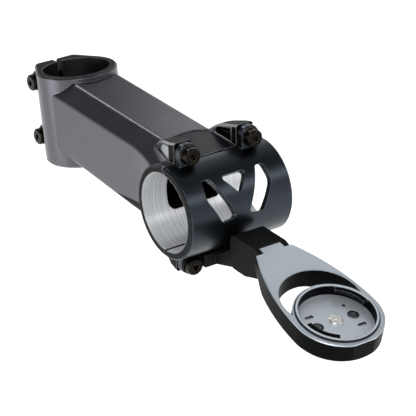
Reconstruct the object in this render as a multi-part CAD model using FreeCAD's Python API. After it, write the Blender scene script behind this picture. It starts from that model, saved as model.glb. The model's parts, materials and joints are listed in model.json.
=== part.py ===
import FreeCAD, Part
import math
import os

# Bicycle stem with a cycle computer mount on its faceplate, in millimetres.
# The origin is the middle of the steerer bore. +Z runs up the steerer, -Y points forward, X lies along the bar.
# The bar clamp and the mount are drawn in the bar frame: the bar axis is X, -Y is forward along the extension.
# The computer ring is drawn in the ring frame: the origin is the middle of its top face, +Y runs to the rear.

# Steerer clamp
steerer_diameter = 28.6
steerer_wall = 2.7
steerer_height = 39.0
steerer_edge = 0.7
steerer_slit = 2.4
pinch_half_width = 9.4
pinch_behind_bore = 5.0
pinch_corner = 2.4
steerer_bolt_web = 2.0
steerer_bolt_spacing = 24.0
steerer_barrel_radius = 4.6

# Extension, an octagon drawn about the line from the steerer axis to the bar axis
stem_length = 100.0
rise_angle = -8.0
extension_half_width = 16.0
extension_top_half = 10.0
extension_shoulder = 6.2
extension_rear_depth = 16.4
extension_edge_radius = 2.2
extension_wall = 2.8
flare_length = 17.0
flare_side_height = 6.0
saddle_window_half_width = 12.0
saddle_window_half_height = 8.0
saddle_window_corner = 3.0

# Bar clamp
bar_diameter = 31.8
bar_wall = 2.9
clamp_width = 46.6
clamp_gap = 1.2
clamp_edge = 0.6
head_step = 0.4
head_arc_rise = 3.0

# Bolt lugs of the bar clamp, with a fin behind each lug
lug_from_end = 9.1
lug_half_width = 3.9
lug_bolt_height = 4.3
lug_top = 4.1
fin_root = 10.5
fin_length = 22.0
fin_crest = 4.6
fin_crest_back = 13.5
fin_crest_radius = 24.0
fin_tip_width = 3.2
fin_bevel = 0.7
pocket_floor = 0.4
pocket_roof = 1.4
pocket_front_wall = 3.8
pocket_web = 0.9
pocket_outer_depth = 0.9
pocket_corner = 0.8

# Faceplate
plate_lug_thickness = 2.6
plate_lug_edge = 0.5
window_corner = 1.2
window_shoulder_radius = 6.0
# Window corners as distance from the middle of the bar and angle above straight ahead
side_window = ((10.5, 53.0), (14.2, 52.5), (14.9, 30.0), (9.3, -2.0), (2.8, 1.0))
centre_window = ((-6.1, 52.0), (6.1, 52.0), (0.0, 26.0))

# Socket head bolts and washers
bolt_diameter = 4.0
bolt_head_diameter = 7.0
bolt_head_height = 2.8
bolt_head_edge = 0.5
bolt_tip_edge = 0.5
bolt_socket = 2.5
bolt_socket_depth = 1.5
plate_bolt_length = 10.0
washer_diameter = 7.8
washer_thickness = 0.8
hole_clearance = 0.2
thread_clearance = 0.05
thread_run_out = 0.3

# Computer mount bracket
ear_thickness = 1.2
beam_thickness = 4.5
beam_head_gap = 0.5
beam_under_bolt = 1.2
ear_radius = 4.0
neck_half_width = 5.6
neck_in_beam = 1.0
block_half_width = 7.0
block_rear = 20.0
block_top = -5.4
block_bottom = -19.4
block_waist = -12.2
block_corner = 2.5
block_foot = 29.5
ledge_length = 5.0
ledge_thickness = 3.6
ledge_seat = 2.2

# Computer mount arm and ring
ring_forward = 77.3
ring_drop = 15.5
mount_tilt = 13.4
arm_length = 39.9
tongue_length = 3.0
tongue_half_width = 5.0
tongue_clearance = 0.1
arm_rear_half_width = 8.1
arm_thickness = 5.0
arm_edge = 0.35
arm_foot_edge = 1.4
arm_swell_length = 11.0
ring_radius = 17.6
ring_depth = 8.6
crescent_radius = 15.7
crescent_offset = 9.6
tub_wall = 0.6
tub_depth = 5.6
front_flat_depth = 0.6

# Quarter-turn insert, which stands in the tub of the ring
insert_radius = 15.6
insert_clearance = 0.1
insert_rim = 1.2
insert_proud = 0.6
insert_floor = 2.0
lip_reach = 2.2
lip_thickness = 1.1
lip_start = 2.0
lip_angle = 56.0
insert_screw_side = 8.0
index_side = 7.8
index_back = 5.7
index_hole_diameter = 1.3
index_slot_length = 3.4
index_depth = 0.9

# Small screws of the mount
small_screw_diameter = 2.5
small_screw_head_diameter = 4.0
small_screw_head_height = 1.2
small_screw_socket = 1.5
small_screw_socket_depth = 0.8
insert_screw_length = 4.5
arm_screw_length = 6.0
arm_screw_side = 4.2
arm_screw_from_end = 2.4
centre_screw_head_diameter = 5.4
centre_screw_head_height = 1.0

# Sizes that follow from the ones above
steerer_radius = steerer_diameter / 2
sleeve_radius = steerer_radius + steerer_wall
bolt_radius = bolt_diameter / 2
steerer_bolt_back = steerer_radius + steerer_bolt_web + bolt_radius
pinch_rear = steerer_radius + pinch_behind_bore
bar_radius = bar_diameter / 2
clamp_radius = bar_radius + bar_wall
clamp_half = clamp_width / 2
half_gap = clamp_gap / 2
lug_side = clamp_half - lug_from_end
extension_top = clamp_radius + head_step
flare_start = clamp_radius + flare_length
bolt_height = clamp_radius + lug_bolt_height
lug_height = bolt_height + lug_top
lug_inner = lug_side - lug_half_width
lug_outer = lug_side + lug_half_width
plate_front = half_gap + plate_lug_thickness
ear_front = plate_front + ear_thickness
rise = math.radians(rise_angle)
bar_centre = FreeCAD.Vector(0, -stem_length * math.cos(rise), stem_length * math.sin(rise))
tub_radius = insert_radius + insert_clearance

ORIGIN = FreeCAD.Vector(0, 0, 0)
X_AXIS = FreeCAD.Vector(1, 0, 0)
Y_AXIS = FreeCAD.Vector(0, 1, 0)
Z_AXIS = FreeCAD.Vector(0, 0, 1)
SPARE = 1.0


def turned(shape, axis, degrees):
    copy = shape.copy()
    copy.rotate(ORIGIN, axis, degrees)
    return copy


def moved(shape, x, y, z):
    copy = shape.copy()
    copy.translate(FreeCAD.Vector(x, y, z))
    return copy


def at_bar(shape):
    """Bar frame to part frame."""
    placed = turned(shape, X_AXIS, -rise_angle)
    placed.translate(bar_centre)
    return placed


def ring_to_bar(shape):
    """Ring frame to bar frame."""
    return moved(turned(shape, X_AXIS, mount_tilt), 0, -ring_forward, -ring_drop)


def left_and_right(shape):
    return [shape, shape.mirror(ORIGIN, X_AXIS)]


def four_corners(shape):
    return left_and_right(shape) + left_and_right(shape.mirror(ORIGIN, Z_AXIS))


def cylinder(radius, length, centre, axis):
    """Cylinder whose middle is at centre."""
    base = FreeCAD.Vector(*centre) - axis * (length / 2)
    return Part.makeCylinder(radius, length, base, axis)


def box(x_low, x_high, y_low, y_high, z_low, z_high):
    corner = FreeCAD.Vector(x_low, y_low, z_low)
    return Part.makeBox(x_high - x_low, y_high - y_low, z_high - z_low, corner)


def rounded_outline(corners, radii):
    """Closed outline through the corners, each rounded by its own radius."""
    starts = []
    ends = []
    arcs = []
    count = len(corners)
    for index, corner in enumerate(corners):
        before = (corners[index - 1] - corner).normalize()
        after = (corners[(index + 1) % count] - corner).normalize()
        radius = radii[index]
        half_angle = before.getAngle(after) / 2
        reach = radius / math.tan(half_angle)
        inward = (before + after).normalize()
        middle = corner + inward * (radius / math.sin(half_angle) - radius)
        starts.append(corner + before * reach)
        ends.append(corner + after * reach)
        arcs.append(middle)
    edges = []
    for index in range(count):
        if radii[index] > 0:
            edges.append(Part.Arc(starts[index], arcs[index], ends[index]).toShape())
        edges.append(Part.LineSegment(ends[index], starts[(index + 1) % count]).toShape())
    return Part.Wire(edges)


def rounded_prism(corners, radii, travel):
    return Part.Face(rounded_outline(corners, radii)).extrude(travel)


def tangent_point(x, y, radius):
    """Where a line from (x, y), on the right, touches a circle about the origin on its outer side."""
    distance = math.hypot(x, y)
    turn = math.atan2(y, x) - math.copysign(math.acos(radius / distance), y)
    return radius * math.cos(turn), radius * math.sin(turn)


def extension_section(back, half_width, side_top, bottom, inset):
    """Octagon across the extension, a distance behind the bar axis. Its corners are sharp where inset for the hollow."""
    top = extension_top - inset
    half_top = extension_top_half - inset * math.tan(math.pi / 8)
    side = half_width - inset
    low = bottom - inset
    side_low = side_top - (extension_top - bottom)
    right = [(half_top, top), (side, side_top), (side, -side_low), (half_top, -low)]
    left = [(-x, z) for x, z in reversed(right)]
    corners = [FreeCAD.Vector(x, back, z) for x, z in right + left]
    edge_radius = 0 if inset else extension_edge_radius
    return rounded_outline(corners, [edge_radius] * len(corners))


def steerer_sleeve():
    """Sleeve round the steerer, drawn out at the rear into a block for the pinch bolts."""
    touch_x, touch_y = tangent_point(pinch_half_width, pinch_rear, sleeve_radius)
    right = FreeCAD.Vector(touch_x, touch_y, 0)
    left = FreeCAD.Vector(-touch_x, touch_y, 0)
    front = FreeCAD.Vector(0, -sleeve_radius, 0)
    corner_right = FreeCAD.Vector(pinch_half_width, pinch_rear, 0)
    corner_left = FreeCAD.Vector(-pinch_half_width, pinch_rear, 0)
    radii = [0, pinch_corner, pinch_corner, 0]
    wedge = rounded_outline([right, corner_right, corner_left, left], radii)
    edges = [edge for edge in wedge.Edges if edge.CenterOfMass.y > touch_y + FreeCAD.Base.Precision.confusion()]
    outline = Part.Wire(Part.__sortEdges__(edges + [Part.Arc(left, front, right).toShape()]))
    sleeve = Part.Face(outline).extrude(Z_AXIS * steerer_height)
    sleeve.translate(Z_AXIS * (-steerer_height / 2))
    rims = [edge for edge in sleeve.Edges if abs(abs(edge.CenterOfMass.z) - steerer_height / 2) < steerer_edge / 2]
    return sleeve.makeChamfer(steerer_edge, rims)


def steerer_bolt_places():
    return (steerer_bolt_spacing / 2, -steerer_bolt_spacing / 2)


def fin_plan(inner):
    """Upright prism over the plan of the upper right fin, which narrows towards the rear."""
    corners = [
        FreeCAD.Vector(inner, 0, 0),
        FreeCAD.Vector(lug_outer, 0, 0),
        FreeCAD.Vector(lug_outer, half_gap + pocket_front_wall, 0),
        FreeCAD.Vector(lug_inner + fin_tip_width, fin_length, 0),
        FreeCAD.Vector(inner, fin_length, 0),
    ]
    return rounded_prism(corners, [0] * len(corners), Z_AXIS * lug_height)


def bar_lug_fin():
    """Upper right bolt lug of the body with the fin that carries it, before its hole and pocket."""
    corners = [
        FreeCAD.Vector(lug_inner, half_gap, fin_root),
        FreeCAD.Vector(lug_inner, fin_length, fin_root),
        FreeCAD.Vector(lug_inner, fin_length, clamp_radius - bar_wall / 2),
        FreeCAD.Vector(lug_inner, fin_crest_back, clamp_radius + fin_crest),
        FreeCAD.Vector(lug_inner, half_gap, lug_height),
    ]
    fin = rounded_prism(corners, [0, 0, 0, fin_crest_radius, 0], X_AXIS * (2 * lug_half_width))
    fin = fin.common(fin_plan(lug_inner))
    ridges = []
    for edge in fin.Edges:
        size = edge.BoundBox
        if size.YLength > max(size.XLength, size.ZLength) and edge.CenterOfMass.z > clamp_radius:
            ridges.append(edge)
    return fin.makeChamfer(fin_bevel, ridges)


def fin_pocket(floor):
    """Side outline of a fin pocket down to a floor, as a prism right across the upper right fin."""
    front = half_gap + pocket_front_wall
    slope = (lug_height - clamp_radius - fin_crest) / (fin_crest_back - half_gap)
    crest_at_front = lug_height - slope * pocket_front_wall
    rear_slope = (fin_crest + bar_wall / 2) / (fin_length - fin_crest_back)
    rear = fin_crest_back + (clamp_radius + fin_crest - 2 * pocket_roof - floor) / rear_slope
    corners = [
        FreeCAD.Vector(lug_inner - SPARE, front, floor),
        FreeCAD.Vector(lug_inner - SPARE, min(rear, fin_length), floor),
        FreeCAD.Vector(lug_inner - SPARE, fin_crest_back, clamp_radius + fin_crest - pocket_roof),
        FreeCAD.Vector(lug_inner - SPARE, front, crest_at_front - pocket_roof),
    ]
    return rounded_prism(corners, [pocket_corner] * len(corners), X_AXIS * (2 * lug_half_width + 2 * SPARE))


def fin_pockets():
    """Pockets of the upper right fin: a deep triangle in its inner wall, a shallow one in its outer wall."""
    room = fin_plan(lug_inner - SPARE)
    inner = fin_pocket(clamp_radius + pocket_floor).common(moved(room, -pocket_outer_depth - pocket_web, 0, 0))
    outer = fin_pocket(clamp_radius - bar_wall / 2).cut(moved(room, -pocket_outer_depth, 0, 0))
    return [inner, outer]


def lug_hole(radius, front, rear):
    """Hole for the upper right clamp bolt between two distances along the extension."""
    return cylinder(radius, rear - front, (lug_side, (front + rear) / 2, bolt_height), Y_AXIS)


def stem_body():
    straight = Part.makeLoft([
        extension_section(stem_length, extension_half_width, extension_top - extension_shoulder,
                          extension_rear_depth, 0),
        extension_section(flare_start, extension_half_width, extension_top - extension_shoulder, extension_top, 0),
    ], True, True)
    flare = [(1.0, extension_half_width, extension_top - extension_shoulder)]
    for share in (0.7, 0.4, 0.0):
        spread = (1 - share) ** 2
        width = extension_half_width + (clamp_half - extension_half_width) * spread
        side_top = extension_top - extension_shoulder
        flare.append((share, width, side_top + (flare_side_height - side_top) * spread))
    sections = []
    for share, width, side_top in flare:
        back = half_gap + (flare_start - half_gap) * share
        sections.append(extension_section(back, width, side_top, extension_top, 0))
    head = Part.makeLoft(sections, True, False)
    saddle = cylinder(clamp_radius, clamp_width, (0, 0, 0), X_AXIS)
    saddle_rims = [edge for edge in saddle.Edges if abs(abs(edge.CenterOfMass.x) - clamp_half) < clamp_edge / 2]
    saddle = saddle.makeChamfer(clamp_edge, saddle_rims)
    rear_side = box(-clamp_half - SPARE, clamp_half + SPARE, half_gap, stem_length, -lug_height, lug_height)
    saddle = saddle.common(rear_side)
    front_part = straight.fuse([head, saddle])

    relief_front = box(-lug_inner, lug_inner, half_gap - SPARE, fin_length, clamp_radius, lug_height)
    arc_radius = (lug_inner ** 2 + head_arc_rise ** 2) / (2 * head_arc_rise)
    arc_centre = (0, fin_length - arc_radius, lug_height)
    relief_arc = cylinder(arc_radius, 2 * (lug_height - clamp_radius), arc_centre, Z_AXIS)
    relief = relief_front.common(relief_arc)
    front_part = front_part.cut([relief, relief.mirror(ORIGIN, Z_AXIS)])
    front_part = front_part.fuse(four_corners(bar_lug_fin()))

    bolt_tip = plate_bolt_length - plate_front - washer_thickness
    tapped = lug_hole(bolt_radius + thread_clearance, half_gap - SPARE, bolt_tip + thread_run_out)
    cuts = four_corners(tapped)
    for pocket in fin_pockets():
        cuts.extend(four_corners(pocket))
    bar_bore = cylinder(bar_radius, clamp_width + 2 * SPARE, (0, 0, 0), X_AXIS)
    cavity_front = clamp_radius + extension_wall
    cavity_side_top = extension_top - extension_shoulder - extension_wall * math.tan(math.pi / 8)
    cavity = Part.makeLoft([
        extension_section(stem_length, extension_half_width, cavity_side_top, extension_rear_depth, extension_wall),
        extension_section(cavity_front, extension_half_width, cavity_side_top, extension_top, extension_wall),
    ], True, True)
    window_corners = [
        FreeCAD.Vector(x, 0, z)
        for x, z in (
            (saddle_window_half_width, saddle_window_half_height),
            (-saddle_window_half_width, saddle_window_half_height),
            (-saddle_window_half_width, -saddle_window_half_height),
            (saddle_window_half_width, -saddle_window_half_height),
        )
    ]
    saddle_window = rounded_prism(window_corners, [saddle_window_corner] * 4, Y_AXIS * (cavity_front + SPARE))

    body = steerer_sleeve()
    barrels = []
    for height in steerer_bolt_places():
        barrels.append(cylinder(steerer_barrel_radius, 2 * pinch_half_width, (0, steerer_bolt_back, height), X_AXIS))
    sleeve_core = cylinder(sleeve_radius, 4 * steerer_height, (0, 0, 0), Z_AXIS)
    body = body.fuse(barrels + [at_bar(front_part.cut(cuts + [bar_bore, saddle_window]))])
    body = body.cut(at_bar(cavity).cut(sleeve_core))
    behind_sleeve = box(-extension_half_width - SPARE, extension_half_width + SPARE, 0, stem_length,
                        steerer_height / 2, stem_length)
    slit = box(-steerer_slit / 2, steerer_slit / 2, 0, 2 * pinch_rear, -steerer_height, steerer_height)
    bore = cylinder(steerer_radius, 2 * steerer_height, (0, 0, 0), Z_AXIS)
    over_bore = cylinder(sleeve_radius, steerer_height, (0, 0, steerer_height), Z_AXIS)
    under_bore = cylinder(sleeve_radius, steerer_height, (0, 0, -steerer_height), Z_AXIS)
    body = body.cut([bore, slit, over_bore, under_bore, behind_sleeve])
    for height in steerer_bolt_places():
        clear = Part.makeCylinder(bolt_radius + hole_clearance, pinch_half_width + SPARE,
                                  FreeCAD.Vector(-pinch_half_width - SPARE, steerer_bolt_back, height), X_AXIS)
        thread = Part.makeCylinder(bolt_radius + thread_clearance, pinch_half_width + SPARE,
                                   FreeCAD.Vector(0, steerer_bolt_back, height), X_AXIS)
        spot_face = Part.makeCylinder(washer_diameter / 2 + hole_clearance, sleeve_radius,
                                      FreeCAD.Vector(-pinch_half_width, steerer_bolt_back, height), -X_AXIS)
        body = body.cut([clear, thread, spot_face])
    return body.removeSplitter()


def radial(angle):
    """Direction from the bar axis, at an angle above straight ahead, and the direction of growing angle."""
    turn = math.radians(angle)
    outward = FreeCAD.Vector(0, -math.cos(turn), math.sin(turn))
    onward = FreeCAD.Vector(0, math.sin(turn), math.cos(turn))
    return outward, onward


def plate_window(corners, radii):
    """Window cut square to the middle of its own arc, as a milling cutter would."""
    angles = [angle for _, angle in corners]
    middle = (min(angles) + max(angles)) / 2
    outward, onward = radial(middle)
    points = []
    for x, angle in corners:
        across = clamp_radius * math.sin(math.radians(angle - middle))
        points.append(X_AXIS * x + onward * across)
    return rounded_prism(points, radii, outward * (clamp_radius + SPARE))


def plate_lug():
    """Upper right lug of the faceplate, a tab with a round top."""
    root = bar_radius + bar_wall / 2
    corners = [
        FreeCAD.Vector(lug_inner, -half_gap, root),
        FreeCAD.Vector(lug_outer, -half_gap, root),
        FreeCAD.Vector(lug_outer, -half_gap, lug_height),
        FreeCAD.Vector(lug_inner, -half_gap, lug_height),
    ]
    crown = lug_half_width - plate_lug_edge
    tab = rounded_prism(corners, [0, 0, crown, crown], Y_AXIS * -plate_lug_thickness)
    front = [
        edge for edge in tab.Edges
        if abs(edge.CenterOfMass.y + plate_front) < plate_lug_edge / 2 and edge.CenterOfMass.z > clamp_radius
    ]
    return tab.makeChamfer(plate_lug_edge, front)


def faceplate():
    shell = cylinder(clamp_radius, clamp_width, (0, 0, 0), X_AXIS)
    rims = [edge for edge in shell.Edges if abs(abs(edge.CenterOfMass.x) - clamp_half) < clamp_edge / 2]
    shell = shell.makeChamfer(clamp_edge, rims)
    front_side = box(-clamp_half - SPARE, clamp_half + SPARE, -2 * clamp_radius, -half_gap, -lug_height, lug_height)
    plate = shell.common(front_side).fuse(four_corners(plate_lug()))
    side = plate_window(side_window, [window_corner, window_corner, window_shoulder_radius, window_corner,
                                      window_corner])
    centre = plate_window(centre_window, [window_corner] * len(centre_window))
    clear = lug_hole(bolt_radius + hole_clearance, -plate_front - SPARE, 0)
    bore = cylinder(bar_radius, clamp_width + 2 * SPARE, (0, 0, 0), X_AXIS)
    return plate.cut([bore, centre] + left_and_right(side) + four_corners(clear)).removeSplitter()


def hexagon(across_flats, depth):
    """Hexagonal socket that goes down from z = 0."""
    corner = across_flats / math.sqrt(3)
    corners = []
    for index in range(6):
        turn = index * math.pi / 3
        corners.append(FreeCAD.Vector(corner * math.cos(turn), corner * math.sin(turn), 0))
    return Part.Face(Part.makePolygon(corners + [corners[0]])).extrude(Z_AXIS * -depth)


def revolved(points):
    """Solid turned about Z from (radius, height) points."""
    corners = [FreeCAD.Vector(radius, 0, height) for radius, height in points]
    return Part.Face(Part.makePolygon(corners + [corners[0]])).revolve(ORIGIN, Z_AXIS, 360)


def socket_bolt(length):
    """Socket head bolt standing on z = 0 with its shank below."""
    head = bolt_head_diameter / 2
    solid = revolved([
        (0, -length), (bolt_radius - bolt_tip_edge, -length), (bolt_radius, bolt_tip_edge - length),
        (bolt_radius, 0), (head, 0), (head, bolt_head_height - bolt_head_edge),
        (head - bolt_head_edge, bolt_head_height), (0, bolt_head_height),
    ])
    return solid.cut(moved(hexagon(bolt_socket, bolt_socket_depth), 0, 0, bolt_head_height))


def washer():
    """Washer under a bolt head, on z = 0."""
    ring = Part.makeCylinder(washer_diameter / 2, washer_thickness)
    return ring.cut(Part.makeCylinder(bolt_radius + hole_clearance, washer_thickness))


def small_screw(length, head_diameter, head_height):
    """Low screw standing on z = 0 with its shank below."""
    shank = small_screw_diameter / 2
    head = head_diameter / 2
    edge = head_height / 3
    solid = revolved([
        (0, -length), (shank, -length), (shank, 0), (head, 0), (head, head_height - edge),
        (head - edge, head_height), (0, head_height),
    ])
    return solid.cut(moved(hexagon(small_screw_socket, small_screw_socket_depth), 0, 0, head_height))


def facing_forward(shape, side, front, height):
    """Puts a bolt or washer, drawn along Z, on a forward face of the bar frame."""
    return at_bar(moved(turned(shape, X_AXIS, 90), side, -front, height))


def facing_left(shape, reach, height):
    """Puts a bolt or washer, drawn along Z, on the left face of the pinch block."""
    return moved(turned(shape, Y_AXIS, -90), -reach, steerer_bolt_back, height)


def ring_point(back, height):
    """Point of the ring frame, on the middle plane, as bar frame (y, z)."""
    tilt = math.radians(mount_tilt)
    y = back * math.cos(tilt) - height * math.sin(tilt) - ring_forward
    z = back * math.sin(tilt) + height * math.cos(tilt) - ring_drop
    return y, z


def side_profile(points, radii, half_width):
    corners = [FreeCAD.Vector(-half_width, y, z) for y, z in points]
    return rounded_prism(corners, radii, X_AXIS * (2 * half_width))


def mount_bracket():
    """Cross bar on the two lower faceplate bolts, with a neck and a block that carries the arm."""
    ears = []
    for side in (-lug_side, lug_side):
        ears.append(Part.makeCylinder(ear_radius, ear_thickness,
                                      FreeCAD.Vector(side, -plate_front, -bolt_height), -Y_AXIS))
    low = -bolt_height - beam_under_bolt
    high = -bolt_height + ear_radius
    strap = box(-lug_side, lug_side, -ear_front, -plate_front, low, high)
    beam_end = lug_side - bolt_head_diameter / 2 - beam_head_gap
    beam_front = plate_front + beam_thickness
    beam = box(-beam_end, beam_end, -beam_front, -plate_front, low, high)
    neck_back = neck_in_beam - beam_front
    neck = side_profile([
        (neck_back, low),
        (neck_back, -bolt_height + ear_radius / 2),
        (-block_rear, block_waist),
        (-block_rear - block_corner, block_bottom),
    ], [0, 0, 0, 0], neck_half_width)
    arm_top = ring_point(arm_length, 0)
    arm_low = ring_point(arm_length, -arm_thickness)
    ledge_end = ring_point(arm_length - ledge_length, -arm_thickness)
    ledge_low = ring_point(arm_length - ledge_length, -arm_thickness - ledge_thickness)
    block = side_profile([
        (-block_rear, block_top), (-block_rear, block_bottom), (-block_foot, block_bottom), ledge_low, ledge_end,
        arm_low, arm_top, (arm_top[0] + block_corner, block_top),
    ], [block_corner, block_corner, block_corner, 0, 0, 0, 0, 0], block_half_width)
    solid = strap.fuse(ears + [beam, neck, block])
    clear = [
        cylinder(bolt_radius + hole_clearance, 4 * ear_thickness, (side, -ear_front, -bolt_height), Y_AXIS)
        for side in (-lug_side, lug_side)
    ]
    slot_half = tongue_half_width + tongue_clearance
    slot_end = arm_length + tongue_length + tongue_clearance
    slot = box(-slot_half, slot_half, arm_length - SPARE, slot_end, -arm_thickness, 2 * arm_thickness)
    place = FreeCAD.Vector(arm_screw_side, arm_length - arm_screw_from_end, -arm_thickness - ledge_seat)
    hole = Part.makeCylinder(small_screw_diameter / 2 + hole_clearance, ledge_seat + SPARE, place)
    seat = Part.makeCylinder(small_screw_head_diameter / 2 + hole_clearance, ring_depth, place, -Z_AXIS)
    arm_cuts = [ring_to_bar(cut) for cut in [slot] + left_and_right(hole.fuse(seat))]
    return solid.cut(clear + arm_cuts).removeSplitter()


def mount_arm():
    """Arm that widens into the ring, with a crescent opening behind the tub of the insert."""
    narrowing = ring_radius - arm_rear_half_width
    flank_radius = (narrowing ** 2 + arm_length ** 2) / (2 * narrowing)
    half_sweep = math.asin(arm_length / flank_radius) / 2
    corner = FreeCAD.Vector(arm_rear_half_width, arm_length, 0)
    bow = FreeCAD.Vector(ring_radius - flank_radius * (1 - math.cos(half_sweep)),
                         flank_radius * math.sin(half_sweep), 0)
    flank = Part.Arc(corner, bow, X_AXIS * ring_radius).toShape()
    rear = [
        (arm_rear_half_width, arm_length),
        (tongue_half_width, arm_length),
        (tongue_half_width, arm_length + tongue_length),
    ]
    rear += [(-x, y) for x, y in reversed(rear)]
    corners = [FreeCAD.Vector(x, y, 0) for x, y in rear]
    front = Part.Arc(X_AXIS * ring_radius, Y_AXIS * -ring_radius, X_AXIS * -ring_radius).toShape()
    edges = [front] + left_and_right(flank)
    for start, end in zip(corners, corners[1:]):
        edges.append(Part.LineSegment(start, end).toShape())
    outline = Part.Wire(Part.__sortEdges__(edges))
    solid = Part.Face(outline).extrude(Z_AXIS * -ring_depth)
    top_rim = [edge for edge in solid.Edges if abs(edge.CenterOfMass.z) < arm_edge / 2]
    solid = solid.makeChamfer(arm_edge, top_rim)
    foot_rim = [edge for edge in solid.Edges if abs(edge.CenterOfMass.z + ring_depth) < arm_edge / 2]
    solid = solid.makeChamfer(arm_foot_edge, foot_rim)
    ledge_front = arm_length - ledge_length - SPARE
    arm_rear = arm_length + tongue_length + SPARE
    swell_front = ledge_front - arm_swell_length
    under_arm = side_profile([
        (arm_rear, -arm_thickness), (ledge_front, -arm_thickness), (swell_front, -ring_depth),
        (swell_front, -2 * ring_depth), (arm_rear, -2 * ring_depth),
    ], [0] * 5, ring_radius)
    crescent = cylinder(crescent_radius, 4 * ring_depth, (0, crescent_offset, 0), Z_AXIS)
    tub_outside = cylinder(tub_radius + tub_wall, 5 * ring_depth, (0, 0, 0), Z_AXIS)
    tub = Part.makeCylinder(tub_radius, ring_depth, FreeCAD.Vector(0, 0, -tub_depth))
    flat = box(-ring_radius, ring_radius, -2 * ring_radius, front_flat_depth - ring_radius, -2 * ring_depth, SPARE)
    holes = []
    for side in (-insert_screw_side, 0, insert_screw_side):
        holes.append(cylinder(small_screw_diameter / 2 + thread_clearance, 4 * ring_depth, (side, 0, 0), Z_AXIS))
    arm_screw_depth = arm_screw_length - ledge_seat + thread_run_out
    for side in (-arm_screw_side, arm_screw_side):
        place = FreeCAD.Vector(side, arm_length - arm_screw_from_end, -arm_thickness)
        holes.append(Part.makeCylinder(small_screw_diameter / 2 + thread_clearance, arm_screw_depth, place))
    return solid.cut([under_arm, crescent.cut(tub_outside), tub, flat] + holes).removeSplitter()


def half_turn(shape):
    """A shape of the ring frame, and the same turned half round the ring."""
    return [shape, turned(shape, Z_AXIS, 180)]


def quarter_turn_insert():
    """Round socket with a raised rim and two lips that a cycle computer turns under."""
    base = -tub_depth
    floor = base + insert_floor
    cup = Part.makeCylinder(insert_radius, insert_proud - base, FreeCAD.Vector(0, 0, base))
    inner = insert_radius - insert_rim
    cup = cup.cut(Part.makeCylinder(inner, insert_proud - floor + SPARE, FreeCAD.Vector(0, 0, floor)))
    lip = Part.makeCylinder(inner + insert_rim / 2, lip_thickness, FreeCAD.Vector(0, 0, insert_proud - lip_thickness),
                            Z_AXIS, lip_angle)
    lip = lip.cut(cylinder(inner - lip_reach, 4 * tub_depth, (0, 0, 0), Z_AXIS))
    cup = cup.fuse(half_turn(turned(lip, Z_AXIS, lip_start)))
    rim_edges = [
        edge for edge in cup.Edges
        if abs(edge.CenterOfMass.z - insert_proud) < lip_thickness / 4 and edge.Length > insert_radius * math.pi
    ]
    cup = cup.makeChamfer(arm_edge, rim_edges)
    index_floor = floor - index_depth
    shank = cylinder(small_screw_diameter / 2 + hole_clearance, 4 * tub_depth, (insert_screw_side, 0, 0), Z_AXIS)
    seat = Part.makeCylinder(small_screw_head_diameter / 2 + hole_clearance, tub_depth,
                             FreeCAD.Vector(insert_screw_side, 0, floor - small_screw_head_height))
    hole = Part.makeCylinder(index_hole_diameter / 2, tub_depth, FreeCAD.Vector(index_side, index_back, index_floor))
    slot_half = index_slot_length / 2
    slot_round = index_hole_diameter / 2
    slot_corners = [
        FreeCAD.Vector(index_side + x, y - index_back, index_floor)
        for x, y in (
            (slot_half, slot_round), (-slot_half, slot_round), (-slot_half, -slot_round), (slot_half, -slot_round),
        )
    ]
    slot = rounded_prism(slot_corners, [slot_round / 2] * 4, Z_AXIS * tub_depth)
    cuts = [cylinder(small_screw_diameter / 2 + hole_clearance, 4 * tub_depth, (0, 0, 0), Z_AXIS)]
    for cut in (shank, seat, hole, slot):
        cuts.extend(half_turn(cut))
    return cup.cut(cuts).removeSplitter()


def export(name, shape):
    shape.exportStep("parts/" + name + ".step")


def main():
    os.makedirs("parts", exist_ok=True)
    export("stem_body", stem_body())
    export("faceplate", at_bar(faceplate()))

    for hand, side in (("left", -lug_side), ("right", lug_side)):
        export("plate_washer_" + hand, facing_forward(washer(), side, plate_front, bolt_height))
        bolt = socket_bolt(plate_bolt_length)
        export("plate_bolt_upper_" + hand, facing_forward(bolt, side, plate_front + washer_thickness, bolt_height))
        export("plate_bolt_lower_" + hand, facing_forward(bolt, side, ear_front, -bolt_height))

    steerer_bolt_length = 2 * pinch_half_width + washer_thickness - thread_run_out
    for level, height in zip(("upper", "lower"), steerer_bolt_places()):
        export("steerer_washer_" + level, facing_left(washer(), pinch_half_width, height))
        bolt = socket_bolt(steerer_bolt_length)
        export("steerer_bolt_" + level, facing_left(bolt, pinch_half_width + washer_thickness, height))

    export("mount_bracket", at_bar(mount_bracket()))
    export("mount_arm", at_bar(ring_to_bar(mount_arm())))
    export("quarter_turn_insert", at_bar(ring_to_bar(quarter_turn_insert())))
    floor = insert_floor - tub_depth
    seat = floor - small_screw_head_height
    for hand, direction in (("left", -1), ("right", 1)):
        screw = small_screw(insert_screw_length, small_screw_head_diameter, small_screw_head_height)
        screw = moved(screw, direction * insert_screw_side, 0, seat)
        export("insert_screw_" + hand, at_bar(ring_to_bar(screw)))
        screw = small_screw(arm_screw_length, small_screw_head_diameter, small_screw_head_height)
        screw = moved(turned(screw, X_AXIS, 180), direction * arm_screw_side, arm_length - arm_screw_from_end,
                      -arm_thickness - ledge_seat)
        export("arm_screw_" + hand, at_bar(ring_to_bar(screw)))
    centre_screw = small_screw(insert_screw_length, centre_screw_head_diameter, centre_screw_head_height)
    export("insert_centre_screw", at_bar(ring_to_bar(moved(centre_screw, 0, 0, floor))))


main()
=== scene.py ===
import bpy
import json
import math
from mathutils import Matrix, Vector


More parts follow.
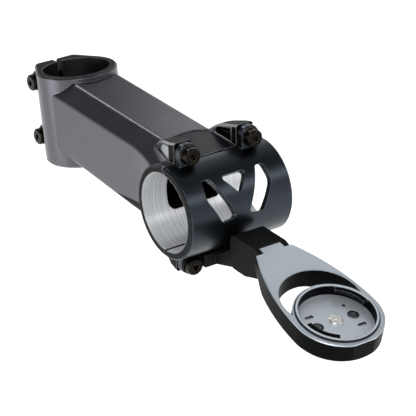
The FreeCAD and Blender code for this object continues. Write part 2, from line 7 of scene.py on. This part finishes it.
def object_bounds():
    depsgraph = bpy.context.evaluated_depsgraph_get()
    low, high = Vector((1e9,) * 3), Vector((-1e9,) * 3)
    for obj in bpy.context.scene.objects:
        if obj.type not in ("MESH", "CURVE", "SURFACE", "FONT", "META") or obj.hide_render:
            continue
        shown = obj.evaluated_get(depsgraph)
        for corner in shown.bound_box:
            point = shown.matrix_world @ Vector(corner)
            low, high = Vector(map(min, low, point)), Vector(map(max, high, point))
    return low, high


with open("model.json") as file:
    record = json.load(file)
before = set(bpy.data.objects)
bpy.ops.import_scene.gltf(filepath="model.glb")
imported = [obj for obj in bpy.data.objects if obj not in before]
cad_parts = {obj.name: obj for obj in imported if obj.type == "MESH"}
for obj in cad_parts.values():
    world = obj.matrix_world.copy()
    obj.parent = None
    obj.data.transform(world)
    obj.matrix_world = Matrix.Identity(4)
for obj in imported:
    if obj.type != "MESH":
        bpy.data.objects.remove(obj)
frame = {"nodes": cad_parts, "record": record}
cad_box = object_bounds()

# Stem body: one piece of forged and machined aluminium, with a slit sleeve for the fork steerer at its rear
# and half of a round clamp at its front. It is blasted and anodised graphite grey, and its head is dyed black.
# Its slit and ends are painted black as shade. The fins' ridges and outer pockets are painted pale, partly as
# a milled finish and partly as painted highlight, and the front bore is turned bare.
MM = 0.001
nodes = frame["nodes"]
mounts = {mount["name"]: mount for mount in frame["record"]["mounts"]}
front_axis = Vector(mounts["bar_clamp"]["pos_m"])
front_bore = mounts["bar_clamp"]["dims"]["r_mm"] * MM
clamp_end = mounts["bar_clamp"]["dims"]["length_mm"] * MM / 2
steerer_bore = mounts["steerer_clamp"]["dims"]["r_mm"] * MM
sleeve_end = mounts["steerer_clamp"]["dims"]["length_mm"] * MM / 2
rearward = -front_axis.normalized()
upward = Vector((0, -rearward.z, rearward.y))
# Real blast dimples and turning marks are finer, and are drawn coarser so that they show
blast_grit = 0.5 * MM
turning_pitch = 0.8 * MM
# Width of the rounded edges and of their paler band, which is partly wear and partly painted highlight
wear_and_glint_width = 0.5 * MM
# Dyed anodising soaks up light and mirrors little
dyed_specular = 0.03
# A zone reaches this far past the face that it covers
bore_skin = 0.08 * MM
end_edge = 0.3 * MM


def linear(code):
    """Linear colour of an sRGB hex value."""
    channels = []
    for start in (1, 3, 5):
        value = int(code[start:start + 2], 16) / 255
        channels.append(value / 12.92 if value <= 0.04045 else ((value + 0.055) / 1.055) ** 2.4)
    return (*channels, 1.0)


def add(owner, kind, output=0, **values):
    """Adds a node and returns one output. Inputs have a capital or a number, as _6, and settings neither."""
    node = owner.node_tree.nodes.new("ShaderNode" + kind)
    for name, value in values.items():
        if name[0].islower():
            setattr(node, name, value)
            continue
        key = int(name[1:]) if name[0] == "_" else name.replace("_", " ")
        if isinstance(value, bpy.types.NodeSocket):
            owner.node_tree.links.new(value, node.inputs[key])
        else:
            node.inputs[key].default_value = value
    return node.outputs[output]


def new_finish(name, metallic, specular=0.5):
    """A material, its shader, and the place on the piece that its patterns read."""
    material = bpy.data.materials.new(name)
    material.use_nodes = True
    shader = material.node_tree.nodes["Principled BSDF"]
    shader.inputs["Metallic"].default_value = metallic
    shader.inputs["Specular IOR Level"].default_value = specular
    return material, shader, add(material, "TexCoord", "Object")


def lay_zones(material, shader, skin, zones):
    """Lays zones over the skin's colour, each with its mask, its own colour and its share of bare metal."""
    metal = shader.inputs["Metallic"].default_value
    # A Mix node takes two values as inputs 2 and 3, or two colours as inputs 6 and 7
    for mask, colour, bare in zones:
        skin = add(material, "Mix", 2, data_type="RGBA", Factor=mask, _6=skin, _7=colour)
        metal = add(material, "Mix", Factor=mask, _2=metal, _3=bare)
    material.node_tree.links.new(metal, shader.inputs["Metallic"])
    return skin


def turned_bore(material, place):
    """The front bore's mask, the streaky colour that turning leaves on it, and the height of the marks."""
    from_axis = add(material, "VectorMath", operation="SUBTRACT", _0=place, _1=front_axis)
    across = add(material, "VectorMath", operation="MULTIPLY", _0=from_axis, _1=(0, 1, 1))
    distance = add(material, "VectorMath", "Value", operation="LENGTH", _0=across)
    in_bore = add(material, "Math", operation="LESS_THAN", _0=distance, _1=front_bore + bore_skin)
    along = add(material, "VectorMath", operation="MULTIPLY", _0=place, _1=(1, 0, 0))
    rings = add(material, "TexNoise", "Fac", Vector=along, Scale=1 / turning_pitch, Detail=3.0)
    streak = add(material, "MapRange", Value=rings, From_Min=0.35, From_Max=0.65)
    groove = linear("#d0d2d5")
    crest = linear("#f2f3f4")
    turned = add(material, "Mix", 2, data_type="RGBA", Factor=streak, _6=groove, _7=crest)
    marks = add(material, "Math", operation="MULTIPLY", _0=rings, _1=in_bore)
    return in_bore, turned, marks


def surface(material, shader, place, skin, wear_and_glint, grit, smooth, rough, relief=None):
    """Fine grit as a bump, roughness that clouds slowly, and edges rounded and painted paler, partly as wear
    and partly as painted highlight.
    """
    wear_and_glint_patch = 3 * MM
    sheen_cloud = 12 * MM
    flat_cosine = 0.99
    edge_cosine = 0.84
    bump_strength = 0.15
    grit_depth = grit / 25
    mark_depth = turning_pitch / 40
    links = material.node_tree.links
    rounded = add(material, "Bevel", samples=6, Radius=wear_and_glint_width)
    plain = add(material, "NewGeometry", "Normal")
    turn = add(material, "VectorMath", "Value", operation="DOT_PRODUCT", _0=rounded, _1=plain)
    edge = add(material, "MapRange", Value=turn, From_Min=flat_cosine, From_Max=edge_cosine)
    patches = add(material, "TexNoise", "Fac", Vector=place, Scale=1 / wear_and_glint_patch, Detail=3.0)
    patches = add(material, "MapRange", Value=patches, From_Min=0.3, From_Max=0.6, To_Min=0.35, To_Max=0.9)
    # The paler edges are partly rubbed wear and partly painted highlight, on convex and concave edges alike
    wear_and_glint_edge = add(material, "Math", operation="MULTIPLY", _0=edge, _1=patches)
    colour = add(material, "Mix", 2, data_type="RGBA", Factor=wear_and_glint_edge, _6=skin, _7=linear(wear_and_glint))
    links.new(colour, shader.inputs["Base Color"])
    cloud = add(material, "TexNoise", "Fac", Vector=place, Scale=1 / sheen_cloud, Detail=3.0)
    sheen = add(material, "MapRange", Value=cloud, From_Min=0.3, From_Max=0.7, To_Min=smooth, To_Max=rough)
    links.new(sheen, shader.inputs["Roughness"])
    grain = add(material, "TexNoise", "Fac", Vector=place, Scale=1 / grit, Detail=2.0)
    bump = add(material, "Bump", Strength=bump_strength, Distance=grit_depth, Height=grain, Normal=rounded)
    if relief:
        bump = add(material, "Bump", Strength=bump_strength, Distance=mark_depth, Height=relief, Normal=bump)
    links.new(bump, shader.inputs["Normal"])


def give(material, *names):
    """Puts a material on CAD nodes, in place of the one they came with."""
    for name in names:
        nodes[name].data.materials.clear()
        nodes[name].data.materials.append(material)


# Graphite anodised aluminium: a satin grey with a violet cast, soft broad reflections and thin bright edges
graphite, shader, place = new_finish("graphite_anodised_aluminium", metallic=1.0, specular=dyed_specular)
from_front = add(graphite, "VectorMath", operation="SUBTRACT", _0=place, _1=front_axis)
behind = add(graphite, "VectorMath", "Value", operation="DOT_PRODUCT", _0=from_front, _1=rearward)
above = add(graphite, "VectorMath", "Value", operation="DOT_PRODUCT", _0=from_front, _1=upward)
above = add(graphite, "Math", operation="ABSOLUTE", _0=above)
side = add(graphite, "SeparateXYZ", "X", Vector=place)
offset = add(graphite, "Math", operation="ABSOLUTE", _0=side)

# The head is the band round the clamp and the four fins on it, measured from the middle of the front axis
head_height = 17.4 * MM
band_height = 19.0 * MM
head_length = 22.1 * MM
fin_inner_side = 10.25 * MM
fin_outer_side = 18.6 * MM
at_front = add(graphite, "Math", operation="LESS_THAN", _0=behind, _1=head_length)
at_top = add(graphite, "Math", operation="GREATER_THAN", _0=above, _1=head_height)
within = add(graphite, "Math", operation="LESS_THAN", _0=offset, _1=fin_outer_side)
at_fins = add(graphite, "Math", operation="GREATER_THAN", _0=offset, _1=fin_inner_side)
on_band = add(graphite, "Math", operation="LESS_THAN", _0=above, _1=band_height)
in_head = add(graphite, "Math", operation="MAXIMUM", _0=at_fins, _1=on_band)
for limit in (at_front, at_top, within):
    in_head = add(graphite, "Math", operation="MULTIPLY", _0=in_head, _1=limit)
on_fin = add(graphite, "Math", operation="MULTIPLY", _0=in_head, _1=at_fins)

# A fin's pale places, partly milled and partly painted highlight: its outer pocket's floor, inner pocket's rim
# and top ridges.
# Behind the pocket's front the fin's outer wall leans inward. A face that looks straight sideways has turn 1.
pocket_front = 4.4 * MM
pocket_rim = 1.0 * MM
pocket_step = 0.45 * MM
fin_wall = 18.1 * MM
fin_taper = 0.261
fin_edge = 0.8 * MM
ridge_height = 19.6 * MM
side_turn = 0.6
ridge_turn = 0.7
ridge_turn_spread = 0.2
facing = add(graphite, "TexCoord", "Normal")
slant = add(graphite, "SeparateXYZ", "X", Vector=facing)
hand = add(graphite, "Math", operation="SIGN", _0=side)
outward = add(graphite, "Math", operation="MULTIPLY", _0=slant, _1=hand)
run = add(graphite, "Math", operation="SUBTRACT", _0=behind, _1=pocket_front)
taper = add(graphite, "Math", operation="MAXIMUM", _0=run, _1=0.0)
wall = add(graphite, "Math", operation="MULTIPLY_ADD", _0=taper, _1=fin_taper, _2=offset)
sunk = add(graphite, "Math", operation="LESS_THAN", _0=wall, _1=fin_wall - pocket_step)
pocket = add(graphite, "Math", operation="GREATER_THAN", _0=outward, _1=side_turn)
for limit in (sunk, on_fin):
    pocket = add(graphite, "Math", operation="MULTIPLY", _0=pocket, _1=limit)
near_middle = add(graphite, "Math", operation="LESS_THAN", _0=offset, _1=fin_inner_side + fin_edge)
past_lug = add(graphite, "Math", operation="GREATER_THAN", _0=run, _1=-pocket_rim)
rim = add(graphite, "Math", operation="LESS_THAN", _0=outward, _1=-side_turn)
for limit in (near_middle, past_lug, on_fin):
    rim = add(graphite, "Math", operation="MULTIPLY", _0=rim, _1=limit)
steep = add(graphite, "Math", operation="ABSOLUTE", _0=slant)
high = add(graphite, "Math", operation="GREATER_THAN", _0=above, _1=ridge_height)
ridge = add(graphite, "Math", operation="COMPARE", _0=steep, _1=ridge_turn, _2=ridge_turn_spread)
for limit in (high, on_fin):
    ridge = add(graphite, "Math", operation="MULTIPLY", _0=ridge, _1=limit)
milled_and_glint_edge = add(graphite, "Math", operation="MAXIMUM", _0=rim, _1=ridge)

# Painted shade: both ends of the sleeve, the walls of its slit, and both ends of the front clamp are painted
# black
slit_half = 1.2 * MM
rise = add(graphite, "SeparateXYZ", "Z", Vector=place)
rise = add(graphite, "Math", operation="ABSOLUTE", _0=rise)
painted_shade_ends = add(graphite, "Math", operation="GREATER_THAN", _0=rise, _1=sleeve_end - bore_skin)
to_rear = add(graphite, "SeparateXYZ", "Y", Vector=place)
to_rear = add(graphite, "Math", operation="GREATER_THAN", _0=to_rear, _1=0.0)
in_slit = add(graphite, "Math", operation="LESS_THAN", _0=offset, _1=slit_half + bore_skin)
in_slit = add(graphite, "Math", operation="MULTIPLY", _0=in_slit, _1=to_rear)
at_side = add(graphite, "Math", operation="GREATER_THAN", _0=offset, _1=clamp_end - end_edge)
for zone in (in_slit, at_side):
    painted_shade_ends = add(graphite, "Math", operation="MAXIMUM", _0=painted_shade_ends, _1=zone)

# Both bores, then every zone over the graphite, with its colour and its share of bare metal
level_place = add(graphite, "VectorMath", operation="MULTIPLY", _0=place, _1=(1, 1, 0))
steerer_distance = add(graphite, "VectorMath", "Value", operation="LENGTH", _0=level_place)
in_steerer = add(graphite, "Math", operation="LESS_THAN", _0=steerer_distance, _1=steerer_bore + bore_skin)
in_bore, turned, marks = turned_bore(graphite, place)
skin = lay_zones(graphite, shader, linear("#59575d"), (
    (in_head, linear("#1a1e22"), 0.6),
    (on_fin, linear("#0d0f11"), 0.05),
    # Pocket floors, rims and ridges are painted pale: partly a milled finish, partly painted highlight
    (pocket, linear("#a0a7ad"), 1.0),
    (milled_and_glint_edge, linear("#d2d6da"), 1.0),
    # Painted shade: the sleeve's ends, the slit's walls and the clamp's ends are black
    (painted_shade_ends, linear("#101214"), 0.15),
    (in_bore, turned, 0.6),
    (in_steerer, linear("#55565a"), 1.0),
))
surface(graphite, shader, place, skin, wear_and_glint="#a5a4a8", grit=blast_grit, smooth=0.32, rough=0.38,
        relief=marks)
give(graphite, "stem_body")

# Faceplate: the front half of the round clamp, machined from one block, with three windows between its ribs.
# It is blasted and anodised black, its bore is bare like the body's, and four bolts pull it to the body.
# Satin black anodised aluminium: a blue-black sheen that follows the curve, greyer edges, and ends painted
# black as shade
plate_black, shader, place = new_finish("satin_black_anodised_aluminium", metallic=1.0,
                                        specular=dyed_specular)
offset = add(plate_black, "SeparateXYZ", "X", Vector=place)
offset = add(plate_black, "Math", operation="ABSOLUTE", _0=offset)
# Painted shade: both ends of the faceplate are black
at_side = add(plate_black, "Math", operation="GREATER_THAN", _0=offset, _1=clamp_end - end_edge)
in_bore, turned, marks = turned_bore(plate_black, place)
skin = lay_zones(plate_black, shader, linear("#393e44"), (
    (at_side, linear("#101214"), 0.15),
    (in_bore, turned, 0.6),
))
surface(plate_black, shader, place, skin, wear_and_glint="#6a7076", grit=blast_grit, smooth=0.29, rough=0.36,
        relief=marks)
give(plate_black, "faceplate")

# Clamp bolts and washers: blackened steel socket heads, four through the faceplate into the body's lugs and
# two across the slit of the steerer clamp. Each sits on a plain washer or on an ear of the bracket.
# Black oxide steel: nearly black with a brown bloom, small sharp glints, and paler edges, partly wear and
# partly painted highlight
bloom_size = 2.5 * MM
# Drawn coarser than the real grain, so that it shows
oxide_grain = 0.3 * MM
bolt_black, shader, place = new_finish("black_oxide_steel", metallic=1.0)
bloom = add(bolt_black, "TexNoise", "Fac", Vector=place, Scale=1 / bloom_size, Detail=4.0)
skin = add(bolt_black, "Mix", 2, data_type="RGBA", Factor=bloom, _6=linear("#131211"), _7=linear("#201c19"))
surface(bolt_black, shader, place, skin, wear_and_glint="#5e5953", grit=oxide_grain, smooth=0.22, rough=0.34)
give(bolt_black, *(name for name in nodes if name.startswith(("plate_bolt", "plate_washer", "steerer_"))))

# Mount bracket: a milled aluminium block on a cross beam, whose two ears sit under the heads of the lower
# faceplate bolts. It holds the arm in a slot between its corner posts.
# Dull black anodised aluminium: a flat black that shows its shape by its edges alone
bracket_black, shader, place = new_finish("dull_black_anodised_aluminium", metallic=0.0,
                                          specular=dyed_specular)
skin = linear("#191b1c")
surface(bracket_black, shader, place, skin, wear_and_glint="#3f4142", grit=blast_grit, smooth=0.44, rough=0.56)
give(bracket_black, "mount_bracket")

# Mount arm: a plate that widens into a ring, milled from aluminium and screwed to the bracket from below. It
# is anodised black all over, and its top is painted pale, partly as a faced finish and partly as a painted
# reflection of the light above.
# Black anodised aluminium, painted pale on top: a cool pale top with a soft sheen, and crisp borders to the
# black sides
seat = Vector(mounts["computer_seat"]["pos_m"])
seat_axis = Vector(mounts["computer_seat"]["axis"])
bright_depth = 0.37 * MM
# Drawn coarser than the real cutter marks, so that they show
faced_grain = 0.4 * MM
arm_metal, shader, place = new_finish("faced_and_reflection_black_aluminium", metallic=0.0, specular=dyed_specular)
from_seat = add(arm_metal, "VectorMath", operation="SUBTRACT", _0=place, _1=seat)
height = add(arm_metal, "VectorMath", "Value", operation="DOT_PRODUCT", _0=from_seat, _1=seat_axis)
# Painted reflection: faces above this depth are pale, partly as a faced finish
faced_and_reflection = add(arm_metal, "Math", operation="GREATER_THAN", _0=height, _1=-bright_depth)
skin = lay_zones(arm_metal, shader, linear("#090a0b"), ((faced_and_reflection, linear("#dde7f0"), 1.0),))
surface(arm_metal, shader, place, skin, wear_and_glint="#8b9299", grit=faced_grain, smooth=0.36, rough=0.44)
give(arm_metal, "mount_arm")

# Quarter-turn insert: a round socket pressed into the ring's tub, with two lips that a cycle computer turns
# under. It is turned from aluminium and anodised black. Its floor and the top of its rim are painted pale,
# partly as a faced finish and partly as painted reflection and painted light in the recess.
# Black anodised insert, painted pale on its floor and rim: a pale floor with faint rings, a thin pale rim, and
# black walls between them
rim_inside = 14.2 * MM
floor_depth = 2.0 * MM
# A face turned up at least this far towards the seat's axis counts as level
level_turn = 0.8
insert_metal, shader, place = new_finish("faced_and_reflection_black_insert", metallic=0.0, specular=dyed_specular)
facing = add(insert_metal, "TexCoord", "Normal")
from_seat = add(insert_metal, "VectorMath", operation="SUBTRACT", _0=place, _1=seat)
height = add(insert_metal, "VectorMath", "Value", operation="DOT_PRODUCT", _0=from_seat, _1=seat_axis)
radius = add(insert_metal, "VectorMath", operation="CROSS_PRODUCT", _0=from_seat, _1=seat_axis)
radius = add(insert_metal, "VectorMath", "Value", operation="LENGTH", _0=radius)
upright = add(insert_metal, "VectorMath", "Value", operation="DOT_PRODUCT", _0=facing, _1=seat_axis)
level = add(insert_metal, "Math", operation="GREATER_THAN", _0=upright, _1=level_turn)
on_rim = add(insert_metal, "Math", operation="GREATER_THAN", _0=radius, _1=rim_inside)
on_floor = add(insert_metal, "Math", operation="LESS_THAN", _0=height, _1=-floor_depth)
cut_zone = add(insert_metal, "Math", operation="MAXIMUM", _0=on_rim, _1=on_floor)
# Painted reflection and painted light: the level faces of the rim and floor are pale, partly as a faced finish
faced_and_reflection = add(insert_metal, "Math", operation="MULTIPLY", _0=level, _1=cut_zone)
skin = lay_zones(insert_metal, shader, linear("#08080a"), ((faced_and_reflection, linear("#e2ebf3"), 0.6),))
ripple = add(insert_metal, "Math", operation="MULTIPLY", _0=radius, _1=2 * math.pi / turning_pitch)
ripple = add(insert_metal, "Math", operation="SINE", _0=ripple)
marks = add(insert_metal, "Math", operation="MULTIPLY", _0=ripple, _1=faced_and_reflection)
surface(insert_metal, shader, place, skin, wear_and_glint="#8b9299", grit=faced_grain, smooth=0.42, rough=0.5,
        relief=marks)
give(insert_metal, "quarter_turn_insert")

# Small screws of the mount: two from below hold the arm on the bracket and three hold the insert down. They
# are zinc plated steel gone dull, apart from the one in the middle of the insert, which is still bright.
# Dull zinc plated steel: a mid grey with darker clouds. Bright zinc plated steel: the palest spot on the part
spangle = 1.5 * MM
# Drawn coarser than the real grain, so that it shows
plating_grain = 0.3 * MM
screw_zinc, shader, place = new_finish("dull_zinc_plated_steel", metallic=1.0)
cloud = add(screw_zinc, "TexNoise", "Fac", Vector=place, Scale=1 / spangle, Detail=4.0)
skin = add(screw_zinc, "Mix", 2, data_type="RGBA", Factor=cloud, _6=linear("#50555a"), _7=linear("#6c7177"))
surface(screw_zinc, shader, place, skin, wear_and_glint="#a2a7ac", grit=plating_grain, smooth=0.32, rough=0.44)
give(screw_zinc, "arm_screw_left", "arm_screw_right", "insert_screw_left", "insert_screw_right")
screw_bright, shader, place = new_finish("bright_zinc_plated_steel", metallic=0.8)
cloud = add(screw_bright, "TexNoise", "Fac", Vector=place, Scale=1 / spangle, Detail=4.0)
skin = add(screw_bright, "Mix", 2, data_type="RGBA", Factor=cloud, _6=linear("#e6e6df"), _7=linear("#fbfbf7"))
surface(screw_bright, shader, place, skin, wear_and_glint="#ffffff", grit=plating_grain, smooth=0.26, rough=0.34)
give(screw_bright, "insert_centre_screw")

# Studio floor: a wide acrylic sheet lit from below, as on a light table. It is what the side faces and the
# lower half of the faceplate mirror.
# Opal acrylic sheet: an even white under and behind the part, which falls off towards the camera
floor_width = 12.0
floor_drop = 60 * MM
glow_middle = (0.0, 0.35, 0.0)
glow_inner = 0.25
glow_outer = 1.6
glow_bright = 0.8
glow_dim = 0.45
bpy.ops.object.select_all(action="DESELECT")
bpy.ops.mesh.primitive_plane_add(size=floor_width, location=(0, 0, cad_box[0][2] - floor_drop))
floor = bpy.context.object
floor.name = "studio_floor"
opal, shader, place = new_finish("opal_acrylic_sheet", metallic=0.0)
shader.inputs["Base Color"].default_value = linear("#e9e9e9")
shader.inputs["Roughness"].default_value = 0.8
shader.inputs["Emission Color"].default_value = linear("#ffffff")
away = add(opal, "VectorMath", "Value", operation="DISTANCE", _0=place, _1=glow_middle)
glow = add(opal, "MapRange", interpolation_type="SMOOTHSTEP", Value=away, From_Min=glow_inner,
           From_Max=glow_outer, To_Min=glow_bright, To_Max=glow_dim)
opal.node_tree.links.new(glow, shader.inputs["Emission Strength"])
floor.data.materials.append(opal)

# Studio light: a dim room that is paler near the floor, a bright strip behind and above that draws the long
# edges, panels that the top faces and the front of the faceplate mirror, and a low panel to the left.
horizon_rise = 0.02
ceiling_rise = 0.35
horizon_light = 0.9
ceiling_light = 0.2
world = bpy.context.scene.world or bpy.data.worlds.new("studio_room")
bpy.context.scene.world = world
world.use_nodes = True
heading = add(world, "TexCoord", "Generated")
rise = add(world, "SeparateXYZ", "Z", Vector=heading)
wash = add(world, "MapRange", Value=rise, From_Min=horizon_rise, From_Max=ceiling_rise, To_Min=horizon_light,
           To_Max=ceiling_light)
backdrop = world.node_tree.nodes["Background"]
backdrop.inputs["Color"].default_value = linear("#ffffff")
world.node_tree.links.new(wash, backdrop.inputs["Strength"])
bpy.context.scene.view_settings.view_transform = "Standard"
middle = (cad_box[0] + cad_box[1]) / 2
# Place, then width and height, in metres, and the brightness of the lit face
soft_lights = (
    ("back_strip_light", (0.05, 0.86, 1.04), (0.30, 0.55), 7.0),
    ("near_top_panel", (0.21, 0.12, 0.20), (0.14, 0.14), 1.7),
    ("overhead_panel", (0.52, 0.15, 0.76), (0.5, 0.5), 0.35),
    ("left_low_panel", (-0.48, 0.12, 0.0), (0.30, 0.22), 4.0),
    ("front_fill_light", (-0.45, -0.75, 0.55), (0.5, 0.5), 4.0),
    ("front_right_strip", (0.52, -0.83, 0.42), (0.5, 0.2), 3.6),
)
for name, position, (width, height), brightness in soft_lights:
    lamp = bpy.data.lights.new(name, "AREA")
    lamp.shape = "RECTANGLE"
    lamp.size = width
    lamp.size_y = height
    lamp.energy = brightness * math.pi * width * height
    light = bpy.data.objects.new(name, lamp)
    light.location = position
    light.rotation_euler = (middle - Vector(position)).to_track_quat("-Z", "Y").to_euler()
    bpy.context.scene.collection.objects.link(light)

# Camera: the photograph's own place and tilt, with a longer lens so that the part fills the frame. Its place
# comes from the two clamps, whose real sizes are known.
eye = Vector((-0.38610, -0.71537, 0.24533))
aim = Vector((0.0003, -0.0924, -0.0202))
vertical = Vector((0.30737, 0.31064, 0.89946))
forward = (aim - eye).normalized()
right = forward.cross(vertical).normalized()
turn = Matrix((right, right.cross(forward), -forward)).transposed()
lens = bpy.data.cameras.new("photo_camera")
lens.lens = 174.0
lens.sensor_width = 36.0
camera = bpy.data.objects.new("photo_camera", lens)
camera.matrix_world = Matrix.Translation(eye) @ turn.to_4x4()
bpy.context.scene.collection.objects.link(camera)
bpy.context.scene.camera = camera
